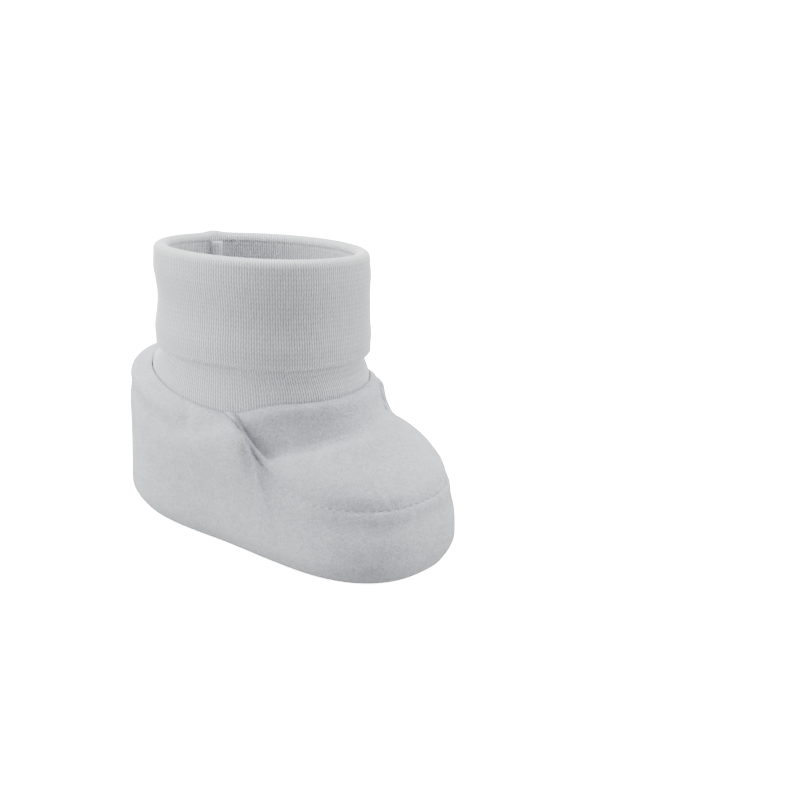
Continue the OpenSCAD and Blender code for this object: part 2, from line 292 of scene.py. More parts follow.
@dataclass(frozen=True)
class FootForm:
    """The surface of the foot, by angle, height and depth.

    Sizes are metres and come from the frame; the rest are shares of those sizes.
    """

    length: float
    width: float
    toe_height: float
    side_height: float
    heel_rise: float
    front_rise: float
    velour: float
    wall_foot: float
    insole_bottom: float
    insole_top: float
    lining: float
    gap: float = 0.3 * MM
    heel_squareness: float = 2.8
    toe_squareness: float = 2.45
    heel_taper: float = 0.04
    ankle_half_width: float = 0.437
    ankle_half_length: float = 0.334
    ankle_back: float = 0.114
    bottom_tuck: float = 2.4 * MM
    toe_lean: float = 1.5 * MM
    collar_roll: float = 5 * MM
    collar_height: float = 6.5 * MM
    collar_start: float = 0.78
    collar_end: float = 0.94
    vamp_dome: float = 1.15
    corner_angle: float = math.radians(16)
    seam_sharpness: float = 3.0
    seam_mitre: float = 0.45
    toe_aside: float = 2.4 * MM
    toe_ahead: float = 1.6 * MM
    waist: float = 2.4 * MM
    shoulder_sag: float = 3.6 * MM
    shoulder_angle: float = math.radians(49)
    shoulder_spread: float = math.radians(24)
    shoulder_share: float = 0.74
    crease: float = 2.2 * MM
    crease_place: float = 9 * MM
    crease_spread: float = 4 * MM
    seam_clear: float = 13 * MM
    sag_room: float = 10 * MM
    roll_reach: float = 9 * MM

    @classmethod
    def from_frame(cls) -> "FootForm":
        """Reads the foot's sizes from the boxes of its CAD nodes."""
        wall_low, wall_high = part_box("side_wall")
        vamp_low, vamp_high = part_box("vamp")
        sole_low, sole_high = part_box("sole")
        insole_low, insole_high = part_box("insole_lining")
        velour = sole_high[2] - sole_low[2]
        heel_rise = 3.5 * MM
        side_height = wall_high[2] - heel_rise
        return cls(
            length=wall_high[1] - wall_low[1],
            width=wall_high[0] - wall_low[0],
            toe_height=vamp_low[2] + cls.seam_mitre * velour,
            side_height=side_height,
            heel_rise=heel_rise,
            front_rise=vamp_high[2] - side_height,
            velour=velour,
            wall_foot=wall_low[2],
            insole_bottom=insole_low[2],
            insole_top=insole_high[2],
            lining=insole_high[2] - insole_low[2],
        )

    @property
    def bulge_height(self) -> float:
        """Height at which the wall is fullest."""
        return self.toe_height * 0.32

    @property
    def wadding_faces(self) -> tuple[float, float]:
        """Depths of the wadding's outer and inner faces."""
        return self.velour + self.gap, self.velour + self.gap + 2 * MM

    @property
    def lining_faces(self) -> tuple[float, float]:
        """Depths of the lining's outer and inner faces."""
        outer = self.wadding_faces[1] + self.gap
        return outer, outer + self.lining

    @property
    def padding_drop(self) -> float:
        """How far below the ankle edge the wadding and the lining stop."""
        return self.collar_roll + self.velour + 2 * self.gap

    def is_back(self, t: np.ndarray) -> np.ndarray:
        """Whether an angle lies behind the ends of the vamp seam."""
        return np.sin(t) >= -math.sin(self.corner_angle) - 1e-9

    def outline(self, t: np.ndarray, depth: np.ndarray) -> np.ndarray:
        """Plan outline drawn in by a depth, as x and y."""
        sine, cosine = np.sin(t), np.cos(t)
        power = 2 / np.where(sine > 0, self.heel_squareness, self.toe_squareness)
        y = (self.length / 2 - depth) * np.sign(sine) * np.abs(sine) ** power
        taper = 1 - self.heel_taper * (smooth(0.5 + y / self.length) - 0.5)
        x = (self.width / 2 - depth) * taper * np.sign(cosine) * np.abs(cosine) ** power
        return np.stack([x, y], -1)

    def ankle_ring(self, t: np.ndarray, depth: float = 0.0) -> np.ndarray:
        """The oval of the ankle edge, drawn in by a depth, as x and y."""
        x = (self.width * self.ankle_half_width - depth) * np.cos(t)
        y = (self.length * self.ankle_half_length - depth) * np.sin(t)
        return np.stack([x, y + self.length * self.ankle_back], -1)

    def ankle_share(self, t: np.ndarray) -> np.ndarray:
        """1 where the wall runs up to the ankle edge, falling to 0 at the toe."""
        corner_y = self.outline(np.array(math.pi + self.corner_angle), 0)[1]
        run = self.length * 0.148
        ahead = unit(1 - (corner_y - self.outline(t, 0)[..., 1]) / run) ** self.seam_sharpness
        return np.where(self.is_back(t), 1.0, ahead)

    def seam_hold(self, t: np.ndarray) -> np.ndarray:
        """How firmly the vamp seam draws the cloth in: 1 at the toe, 0 at the seam's ends."""
        front = mix(0.25, 1.0, smooth((-np.sin(t) - 0.5) / 0.4))
        return front * (1 - smooth((self.ankle_share(t) - 0.1) / 0.8))

    def seam_way(self, t: np.ndarray) -> np.ndarray:
        """Unit direction that faces outwards and up between the wall and the vamp."""
        step = 0.01
        along = self.outline(t + step, 0) - self.outline(t - step, 0)
        out = np.stack([along[..., 1], -along[..., 0]], -1)
        out /= np.linalg.norm(out, axis=-1, keepdims=True)
        return np.concatenate([out, np.ones_like(out[..., :1])], -1) / math.sqrt(2)

    def shaped(self, points: np.ndarray) -> np.ndarray:
        """Gives the foot its hand-made unevenness: a fuller toe and a slight waist."""
        x, y, z = points[..., 0], points[..., 1], points[..., 2]
        toe = smooth((-y - 15 * MM) / (35 * MM)) * (1 - smooth((z - 4 * MM) / (18 * MM)))
        low = 1 - smooth((z - 14 * MM) / (20 * MM))
        waist = bell(y, 0, 24 * MM) * smooth(-x / (22 * MM)) * low
        aside = self.waist * waist - self.toe_aside * toe
        return points + np.stack([aside, -self.toe_ahead * toe, 0 * z], -1)

    def ankle_z(self, t: np.ndarray) -> np.ndarray:
        """Height of the ankle edge."""
        sine, start = np.sin(t), -math.sin(self.corner_angle)
        back = self.heel_rise * unit((sine - start) / (1 - start)) ** 1.5
        front = self.front_rise * smooth(1.5 * (start - sine) / (1 + start))
        return self.side_height + np.where(self.is_back(t), back, front)

    def wall_top(self, t: np.ndarray) -> np.ndarray:
        """Height of the side wall's upper edge."""
        front = mix(self.toe_height, self.side_height, self.ankle_share(t))
        return np.where(self.is_back(t), self.ankle_z(t), front)

    def ply_top(self, t: np.ndarray, depth: float) -> np.ndarray:
        """Top of the side wall at a depth, mitred at the vamp seam."""
        return self.wall_top(t) - depth * mix(self.seam_mitre, 1.0, self.ankle_share(t))

    def padding_top(self, t: np.ndarray, depth: float) -> np.ndarray:
        """Top of the wadding and the lining, which stop below the rolled ankle edge."""
        drop = mix(self.seam_mitre * depth, self.padding_drop, self.ankle_share(t))
        return self.wall_top(t) - drop

    def wall_point(self, t: np.ndarray, z: np.ndarray, depth: float) -> np.ndarray:
        """A place on the side wall."""
        top = self.ply_top(t, depth)
        tuck = self.bottom_tuck * (1 - unit(z / self.bulge_height)) ** 2
        above = unit((z - self.bulge_height) / (top - self.bulge_height))
        lean = self.toe_lean * (1 - smooth(0.5 + np.sin(t) / 2)) * above**2
        plan = self.outline(t, tuck + lean + depth)
        roll = max(self.collar_roll - depth, 1 * MM)
        rolled = 1 - np.sqrt(1 - unit((z - top + roll) / roll) ** 2)
        sloped = unit((z / top - 0.25) / 0.75) ** 2
        corner_y = self.outline(np.array(math.pi + self.corner_angle), 0)[1]
        behind = self.outline(t, 0)[..., 1] - corner_y + self.roll_reach
        backness = smooth(behind / (self.length * 0.2))
        share = (self.ankle_share(t) * mix(sloped, rolled, backness))[..., None]
        xy = mix(plan, self.ankle_ring(t), share)
        return np.concatenate([xy, np.broadcast_to(z, t.shape)[..., None]], -1)

    def wall_level(self, share: np.ndarray, foot: float, top: np.ndarray) -> np.ndarray:
        """Height of a share of the way up; the first quarter lies below the bulge."""
        low = mix(foot, self.bulge_height, share * 4)
        high = mix(self.bulge_height, top, (share - 0.25) / 0.75)
        return np.where(share < 0.25, low, high)

    def collar_share(self, t: np.ndarray) -> np.ndarray:
        """How much of the collar's height there is: none at the ends of the vamp seam."""
        return 1 - smooth(self.ankle_share(t) / 0.5)

    def vamp_drop(self, t: np.ndarray, s: np.ndarray) -> np.ndarray:
        """How far the vamp sinks in the crease under its collar and at its shoulders."""
        seam = self.wall_point(t, self.wall_top(t), 0)
        edge = np.concatenate([self.ankle_ring(t), self.ankle_z(t)[..., None]], -1)
        length = np.linalg.norm(edge - seam, axis=-1)
        crease = bell((1 - s) * length, self.crease_place, self.crease_spread)
        crease = crease * smooth(length / (14 * MM))
        side = bell(np.abs(turn_gap(t, TOE)), self.shoulder_angle, self.shoulder_spread)
        below_edge = 1 - 0.7 * smooth((s - 0.85) / 0.15)
        shoulder = side * bell(s, self.shoulder_share, 0.3) * below_edge
        room = smooth((edge[..., 2] - self.collar_height - seam[..., 2]) / self.sag_room)
        held = smooth(s * length / self.seam_clear) * room
        return held * (self.crease * crease + self.shoulder_sag * shoulder)

    def vamp_point(self, t: np.ndarray, s: np.ndarray, depth: float) -> np.ndarray:
        """A place on the vamp, from its seam (s = 0) up to the ankle edge (s = 1)."""
        start = self.wall_point(t, self.ply_top(t, depth), depth)
        end_z = self.ankle_z(t) - depth
        collar = self.collar_height * self.collar_share(t)
        valley_z = np.maximum(end_z - collar, start[..., 2])
        domed = 1 - (1 - unit(s / self.collar_start)) ** self.vamp_dome
        rise = smooth((s - self.collar_start) / (self.collar_end - self.collar_start))
        xy = mix(start[..., :2], self.ankle_ring(t), s[..., None])
        z = mix(mix(start[..., 2], valley_z, domed), end_z, rise) - self.vamp_drop(t, s)
        return np.concatenate([xy, z[..., None]], -1)

    def vamp_padding_point(self, t: np.ndarray, s: np.ndarray, depth: float) -> np.ndarray:
        """A place on the vamp's wadding or lining, which runs on under the collar."""
        start = self.wall_point(t, self.padding_top(t, depth), depth)
        valley_z = self.ankle_z(t) - self.collar_height - depth
        domed = 1 - (1 - unit(s / self.collar_start)) ** self.vamp_dome
        xy = mix(start[..., :2], self.ankle_ring(t), s[..., None])
        z = mix(start[..., 2] + self.gap / 2, valley_z, domed) - self.vamp_drop(t, s)
        return np.concatenate([xy, z[..., None]], -1)


# ---- Puffing the padded cloth by simulation ----


@dataclass(frozen=True)
class Puff:
    """Air pressure that plumps a panel held at its seams, as a cloth simulation.

    The panel is simulated ten times its size, where the solver is steady.
    """

    pressure: float = 4.0
    growth: float = 0.005
    frames: int = 16
    cap: float = 0.9 * MM
    enlarge: float = 10.0

    def settle(self, points: np.ndarray, hold: np.ndarray, wrap: bool) -> np.ndarray:
        """Runs the simulation and returns the moved grid.

        Args:
            points: Rows x columns x 3.
            hold: Rows x columns, 1 where a seam holds the cloth still and 0 where it is free.
            wrap: Whether the columns close into a ring.

        Returns:
            The grid after the cloth has settled, no point moved further than the cap.
        """
        rows, columns = points.shape[:2]
        spans = columns if wrap else columns - 1
        k, c = np.meshgrid(np.arange(rows - 1), np.arange(spans), indexing="ij")
        corners = [(k, c), (k, c + 1), (k + 1, c + 1), (k + 1, c)]
        faces = np.stack([a * columns + b % columns for a, b in corners], -1).reshape(-1, 4)
        panel = mesh_object("panel", points.reshape(-1, 3) * self.enlarge, faces)
        group = panel.vertex_groups.new(name="seams")
        flat = hold.reshape(-1)
        for weight in np.unique(flat[flat > 0]):
            group.add(np.flatnonzero(flat == weight).tolist(), float(weight), "REPLACE")
        self._cloth(panel)
        for number in range(1, self.frames + 1):
            bpy.context.scene.frame_set(number)
        view = bpy.context.evaluated_depsgraph_get()
        settled = np.empty(rows * columns * 3)
        panel.evaluated_get(view).data.vertices.foreach_get("co", settled)
        bpy.context.scene.frame_set(1)
        bpy.data.objects.remove(panel)
        move = settled.reshape(points.shape) / self.enlarge - points
        far = np.linalg.norm(move, axis=2, keepdims=True)
        held = self.cap * np.tanh(far / self.cap)
        return points + move * held / np.maximum(far, 1e-12) * (1 - hold[..., None])

    def _cloth(self, panel: bpy.types.Object) -> None:
        """Adds the cloth modifier with its seams held and no gravity."""
        cloth = panel.modifiers.new("cloth", "CLOTH")
        cloth.settings.quality = 6
        cloth.settings.mass = 0.3
        cloth.settings.tension_stiffness = 20
        cloth.settings.compression_stiffness = 20
        cloth.settings.shear_stiffness = 8
        cloth.settings.bending_stiffness = 12
        cloth.settings.use_pressure = True
        cloth.settings.uniform_pressure_force = self.pressure
        cloth.settings.shrink_min = -self.growth
        cloth.settings.vertex_group_mass = "seams"
        cloth.settings.effector_weights.gravity = 0
        cloth.collision_settings.use_collision = False
        cloth.point_cache.frame_start = 1
        cloth.point_cache.frame_end = self.frames


# ---- Shader maths ----


class Value:
    """A shader value that can be added, multiplied and so on like a number."""

    def __init__(self, tree: bpy.types.NodeTree, socket: bpy.types.NodeSocket) -> None:
        """Wraps one output socket."""
        self.tree = tree
        self.socket = socket

    def _math(self, kind: str, *others: "Value | float") -> "Value":
        """Joins this value to others with a Math node."""
        node = self.tree.nodes.new("ShaderNodeMath")
        node.operation = kind
        self.tree.links.new(self.socket, node.inputs[0])
        for slot, other in zip(node.inputs[1:], others):
            feed(self.tree, slot, other)
        return Value(self.tree, node.outputs[0])

    def __add__(self, other: "Value | float") -> "Value":
        """This value plus another."""
        return self._math("ADD", other)

    def __mul__(self, other: "Value | float") -> "Value":
        """This value times another."""
        return self._math("MULTIPLY", other)

    def __truediv__(self, other: "Value | float") -> "Value":
        """This value divided by another."""
        return self._math("DIVIDE", other)

    def __pow__(self, other: float) -> "Value":
        """This value to a power."""
        return self._math("POWER", other)

    def cosine(self) -> "Value":
        """Cosine of the value."""
        return self._math("COSINE")

    def pingpong(self, scale: float) -> "Value":
        """The value folded back and forth between 0 and a scale."""
        return self._math("PINGPONG", scale)

    def step_up(self, low: float, high: float) -> "Value":
        """A smooth step from 0 at low to 1 at high."""
        node = self.tree.nodes.new("ShaderNodeMapRange")
        node.interpolation_type = "SMOOTHSTEP"
        self.tree.links.new(self.socket, node.inputs["Value"])
        node.inputs["From Min"].default_value = low
        node.inputs["From Max"].default_value = high
        return Value(self.tree, node.outputs["Result"])


def feed(tree: bpy.types.NodeTree, slot: bpy.types.NodeSocket, source: object) -> None:
    """Links a value to a socket, or sets the socket to a plain number or colour."""
    if isinstance(source, Value):
        tree.links.new(source.socket, slot)
    else:
        slot.default_value = source


Colour = tuple[float, float, float]


class Palette:
    """The node tree of one material, with short ways to add what the finishes need."""

    def __init__(self, name: str) -> None:
        """Starts a material with an empty tree but for its shader."""
        self.made = bpy.data.materials.new(name)
        self.made.use_nodes = True
        self.tree = self.made.node_tree
        self.shader = self.tree.nodes["Principled BSDF"]

    def node(self, kind: str, output: str | int = 0, **inputs: object) -> Value:
        """Adds a node, sets or links its inputs by name, and returns one output."""
        node = self.tree.nodes.new(kind)
        for name, source in inputs.items():
            feed(self.tree, node.inputs[name.replace("_", " ")], source)
        return Value(self.tree, node.outputs[output])

    def place(self) -> Value:
        """The point in the row frame."""
        return self.node("ShaderNodeTexCoord", "Object")

    def cloth_place(self) -> tuple[Value, Value, Value]:
        """The point on the cloth in metres, and its two parts."""
        layer = self.tree.nodes.new("ShaderNodeUVMap")
        layer.uv_map = "UVMap"
        split = self.tree.nodes.new("ShaderNodeSeparateXYZ")
        self.tree.links.new(layer.outputs[0], split.inputs[0])
        parts = [Value(self.tree, split.outputs[i]) for i in (0, 1)]
        return Value(self.tree, layer.outputs[0]), parts[0], parts[1]

    def stretched(self, place: Value, scale: tuple[float, float, float]) -> Value:
        """A place scaled along each axis."""
        return self.node("ShaderNodeMapping", Vector=place, Scale=scale)

    def grain(self, place: Value, size: float, detail: float = 2.0, rough: float = 0.5) -> Value:
        """Noise from 0 to 1 whose lumps are about a size across."""
        look = {"Scale": 1 / size, "Detail": detail, "Roughness": rough}
        return self.node("ShaderNodeTexNoise", "Fac", Vector=place, **look)

    def blend(self, share: Value, low: Colour, high: Colour) -> Value:
        """A colour between two by a share."""
        node = self.tree.nodes.new("ShaderNodeMix")
        node.data_type = "RGBA"
        feed(self.tree, node.inputs[0], share)
        node.inputs[6].default_value = (*low, 1)
        node.inputs[7].default_value = (*high, 1)
        return Value(self.tree, node.outputs[2])

    def surface(self, colour: Value, height: Value, depth: float, **plain: object) -> None:
        """Joins the colour and the relief to the shader and sets its plain sockets."""
        feed(self.tree, self.shader.inputs["Base Color"], colour)
        bump = self.node("ShaderNodeBump", "Normal", Height=height, Distance=depth, Strength=1.0)
        feed(self.tree, self.shader.inputs["Normal"], bump)
        for name, number in plain.items():
            self.shader.inputs[name.replace("_", " ")].default_value = number


# ---- Finishes ----


@dataclass(frozen=True)
class Finish:
    """A finish makes its material once and hands out the same one after that."""

    name: str

    def material(self) -> bpy.types.Material:
        """The finish's material."""
        known = bpy.data.materials.get(self.name)
        return known if known else self.make()

    def make(self) -> bpy.types.Material:
        """Builds the material."""
        raise NotImplementedError


@dataclass(frozen=True)
class VelourFinish(Finish):
    """Short white pile: fine grain, soft blotches where the pile leans, and a pale edge glow."""

    name: str = "white_velour"
    lit: Colour = (0.75, 0.78, 0.82)
    shaded: Colour = (0.45, 0.48, 0.53)
    grain_size: float = 0.42 * MM
    blotch_size: float = 5 * MM
    relief: float = 0.6 * MM

    def make(self) -> bpy.types.Material:
        """Builds the velour."""
        palette = Palette(self.name)
        place = palette.place()
        fine = palette.grain(place, self.grain_size, 3.0, 0.65)
        clumps = palette.grain(place, self.grain_size * 3.2, 2.0, 0.6)
        blotch = palette.grain(place, self.blotch_size, 2.0)
        pile = fine * 0.75 + clumps * 0.25
        tone = pile.step_up(0.3, 0.66) * 0.82 + blotch.step_up(0.25, 0.75) * 0.18
        palette.surface(
            palette.blend(tone, self.shaded, self.lit),
            pile,
            self.relief,
            Roughness=0.95,
            Sheen_Weight=0.35,
            Sheen_Roughness=0.55,
            Specular_IOR_Level=0.1,
        )
        return palette.made


@dataclass(frozen=True)
class KnitFinish(Finish):
    """Fine knit: columns of V-shaped stitches whose two legs stand up as thin ribs, with painted shade
    in the furrows.
    """

    name: str = "white_rib_knit"
    lit: Colour = (0.93, 0.95, 0.97)
    # Painted shade: the colour of the grooves between the ribs.
    furrow_shade: Colour = (0.44, 0.46, 0.49)
    wale: float = 1.5 * MM
    course: float = 1.4 * MM
    relief: float = 0.24 * MM

    def make(self) -> bpy.types.Material:
        """Builds the rib knit, which follows the cloth's own UV map."""
        palette = Palette(self.name)
        place, round_, up = palette.cloth_place()
        across = round_ / self.wale
        crest = (across * (2 * TURN)).cosine() * 0.5 + 0.5
        slant = across.pingpong(0.5) * 1.3
        stitch = ((up / self.course + slant) * TURN).cosine() * 0.5 + 0.5
        yarn = palette.grain(palette.place(), 0.25 * MM, 3.0, 0.6)
        uneven = palette.grain(palette.stretched(place, (1.0, 0.25, 1.0)), 1.4 * MM, 2.0)
        height = crest * 0.6 + stitch * 0.2 + yarn * 0.25
        # Painted shade: the colour darkens from the crests to the furrow shade in the grooves between
        # the ribs and, more faintly, between the stitches; yarn and uneven add grain.
        tone = crest.step_up(0.05, 0.8) * 0.55 + stitch * 0.14 + yarn * 0.14 + uneven * 0.22
        palette.surface(
            palette.blend(tone, self.furrow_shade, self.lit),
            height,
            self.relief,
            Roughness=0.9,
            Subsurface_Weight=0.45,
            Subsurface_Radius=(1.0, 1.0, 1.0),
            Subsurface_Scale=4 * MM,
            Sheen_Weight=0.2,
            Sheen_Roughness=0.5,
            Specular_IOR_Level=0.15,
        )
        return palette.made


@dataclass(frozen=True)
class JerseyFinish(Finish):
    """Smooth knitted lining with faint fine wales."""

    name: str = "white_jersey"
    lit: Colour = (0.80, 0.80, 0.79)
    shaded: Colour = (0.66, 0.66, 0.66)

    def make(self) -> bpy.types.Material:
        """Builds the jersey."""
        palette = Palette(self.name)
        place = palette.place()
        threads = palette.grain(palette.stretched(place, (1.0, 0.3, 1.0)), 0.6 * MM, 3.0, 0.6)
        folds = palette.grain(place, 7 * MM, 2.0)
        tone = threads.step_up(0.3, 0.7) * 0.7 + folds * 0.3
        palette.surface(
            palette.blend(tone, self.shaded, self.lit),
            threads + folds * 0.8,
            0.2 * MM,
            Roughness=0.9,
            Sheen_Weight=0.15,
            Specular_IOR_Level=0.15,
        )
        return palette.made


@dataclass(frozen=True)
class WaddingFinish(Finish):
    """Loose white fibre."""

    name: str = "white_wadding"

    def make(self) -> bpy.types.Material:
        """Builds the wadding."""
        palette = Palette(self.name)
        place = palette.place()
        fibres = palette.grain(palette.stretched(place, (1.0, 1.0, 3.0)), 0.7 * MM, 5.0, 0.75)
        clouds = palette.grain(place, 4 * MM, 3.0)
        palette.surface(
            palette.blend(fibres * 0.6 + clouds * 0.4, (0.7, 0.7, 0.7), (0.9, 0.9, 0.89)),
            fibres + clouds,
            0.5 * MM,
            Roughness=1.0,
            Specular_IOR_Level=0.1,
        )
        return palette.made


@dataclass(frozen=True)
class ThreadFinish(Finish):
    """Twisted white sewing thread."""

    name: str = "white_thread"

    def make(self) -> bpy.types.Material:
        """Builds the thread."""
        palette = Palette(self.name)
        fibres = palette.grain(palette.place(), 0.12 * MM, 3.0, 0.6)
        palette.surface(
            palette.blend(fibres.step_up(0.3, 0.7), (0.62, 0.63, 0.65), (0.86, 0.87, 0.88)),
            fibres,
            0.05 * MM,
            Roughness=0.6,
            Sheen_Weight=0.2,
        )
        return palette.made


# ---- Geometry node trees ----


class TreeBuilder:
    """A geometry node tree with named inputs, ending in realised geometry with a material."""

    def __init__(self, name: str) -> None:
        """Starts the tree with its geometry in and out and a material input."""
        self.tree = bpy.data.node_groups.new(name, "GeometryNodeTree")
        self.names: dict[str, str] = {}
        self.start = self.tree.nodes.new("NodeGroupInput")
        self.end = self.tree.nodes.new("NodeGroupOutput")
        self.add_input("Geometry", "NodeSocketGeometry")
        kind = "NodeSocketGeometry"
        self.tree.interface.new_socket("Geometry", in_out="OUTPUT", socket_type=kind)

    def add_input(self, name: str, kind: str = "NodeSocketFloat") -> bpy.types.NodeSocket:
        """Adds a named input and returns its socket inside the tree."""
        made = self.tree.interface.new_socket(name, in_out="INPUT", socket_type=kind)
        self.names[name] = made.identifier
        return self.start.outputs[name]

    def node(self, kind: str, **links: object) -> bpy.types.Node:
        """Adds a node and links or sets its inputs; a key of the form in_N is input number N."""
        node = self.tree.nodes.new(kind)
        for name, source in links.items():
            key = int(name[3:]) if name.startswith("in_") else name.replace("_", " ")
            if isinstance(source, bpy.types.NodeSocket):
                self.tree.links.new(source, node.inputs[key])
            else:
                node.inputs[key].default_value = source
        return node

    def maths(self, kind: str, a: object, b: object = 0.0) -> bpy.types.NodeSocket:
        """Adds a Math node and returns its result."""
        node = self.node("ShaderNodeMath", in_0=a, in_1=b)
        node.operation = kind
        return node.outputs[0]

    def scaled(
        self, vector: bpy.types.NodeSocket, size: bpy.types.NodeSocket
    ) -> bpy.types.NodeSocket:
        """Adds a Vector Math node that scales a vector."""
        node = self.tree.nodes.new("ShaderNodeVectorMath")
        node.operation = "SCALE"
        self.tree.links.new(vector, node.inputs[0])
        self.tree.links.new(size, node.inputs["Scale"])
        return node.outputs[0]

    def attribute(self, name: str, kind: str) -> bpy.types.NodeSocket:
        """Reads a named attribute of the incoming geometry."""
        node = self.node("GeometryNodeInputNamedAttribute")
        node.data_type = kind
        node.inputs["Name"].default_value = name
        return node.outputs["Attribute"]

    def finish(self, geometry: bpy.types.NodeSocket) -> None:
        """Ends the tree in Realize Instances and Set Material."""
        material = self.add_input("Material", "NodeSocketMaterial")
        real = self.node("GeometryNodeRealizeInstances", Geometry=geometry)
        dressed = self.node(
            "GeometryNodeSetMaterial", Geometry=real.outputs[0], Material=material
        )
        self.tree.links.new(dressed.outputs[0], self.end.inputs[0])

    def apply(self, piece: bpy.types.Object, **values: object) -> None:
        """Runs the tree on a piece with the given inputs and keeps the result as its mesh."""
        modifier = piece.modifiers.new("made", "NODES")
        modifier.node_group = self.tree
        for name, value in values.items():
            modifier[self.names[name.replace("_", " ")]] = value
        baked(piece)


def rib_tree() -> TreeBuilder:
    """Thin ribs, two to a wale, raised on a fine knitted mesh along its UV map."""
    made = TreeBuilder("knit_ribs")
    pitch = made.add_input("Wale Pitch")
    rib = made.add_input("Rib Height")
    split = made.node("ShaderNodeSeparateXYZ", in_0=made.attribute("UVMap", "FLOAT_VECTOR"))
    wales = made.maths("DIVIDE", split.outputs[0], pitch)
    crest = made.maths("COSINE", made.maths("MULTIPLY", wales, 2 * TURN))
    height = made.maths("MULTIPLY", crest, rib)
    normal = made.node("GeometryNodeInputNormal").outputs[0]
    moved = made.node(
        "GeometryNodeSetPosition",
        Geometry=made.start.outputs["Geometry"],
        Offset=made.scaled(normal, height),
    )
    made.finish(moved.outputs[0])
    return made


def stitch_tree() -> TreeBuilder:
    """A rounded thread on every point, lying along its own direction and facing outwards."""
    made = TreeBuilder("seam_stitches")
    length = made.add_input("Stitch Length")
    width = made.add_input("Thread Width")
    wander = made.add_input("Wander")
    seed = made.add_input("Seed", "NodeSocketInt")
    bead = made.node("GeometryNodeMeshUVSphere", Segments=8, Rings=6, Radius=0.5)
    along = made.attribute("along", "FLOAT_VECTOR")
    out = made.attribute("out", "FLOAT_VECTOR")
    first = made.node("FunctionNodeAlignRotationToVector", Vector=along)
    first.axis = "X"
    second = made.node(
        "FunctionNodeAlignRotationToVector", Rotation=first.outputs[0], Vector=out
    )
    second.axis = "Z"
    second.pivot_axis = "X"
    chance = made.node("FunctionNodeRandomValue")
    chance.data_type = "FLOAT"
    low = made.maths("SUBTRACT", 1.0, wander)
    high = made.maths("ADD", 1.0, wander)
    for name, source in (("Min", low), ("Max", high), ("Seed", seed)):
        target = [s for s in chance.inputs if s.name == name and s.enabled][0]
        made.tree.links.new(source, target)
    change = [s for s in chance.outputs if s.enabled][0]
    size = made.node(
        "ShaderNodeCombineXYZ", X=made.maths("MULTIPLY", length, change), Y=width, Z=width
    )
    threads = made.node(
        "GeometryNodeInstanceOnPoints",
        Points=made.start.outputs["Geometry"],
        Instance=bead.outputs["Mesh"],
        Rotation=second.outputs[0],
        Scale=size.outputs[0],
    )
    made.finish(threads.outputs[0])
    return made


# ---- Sub-assemblies ----


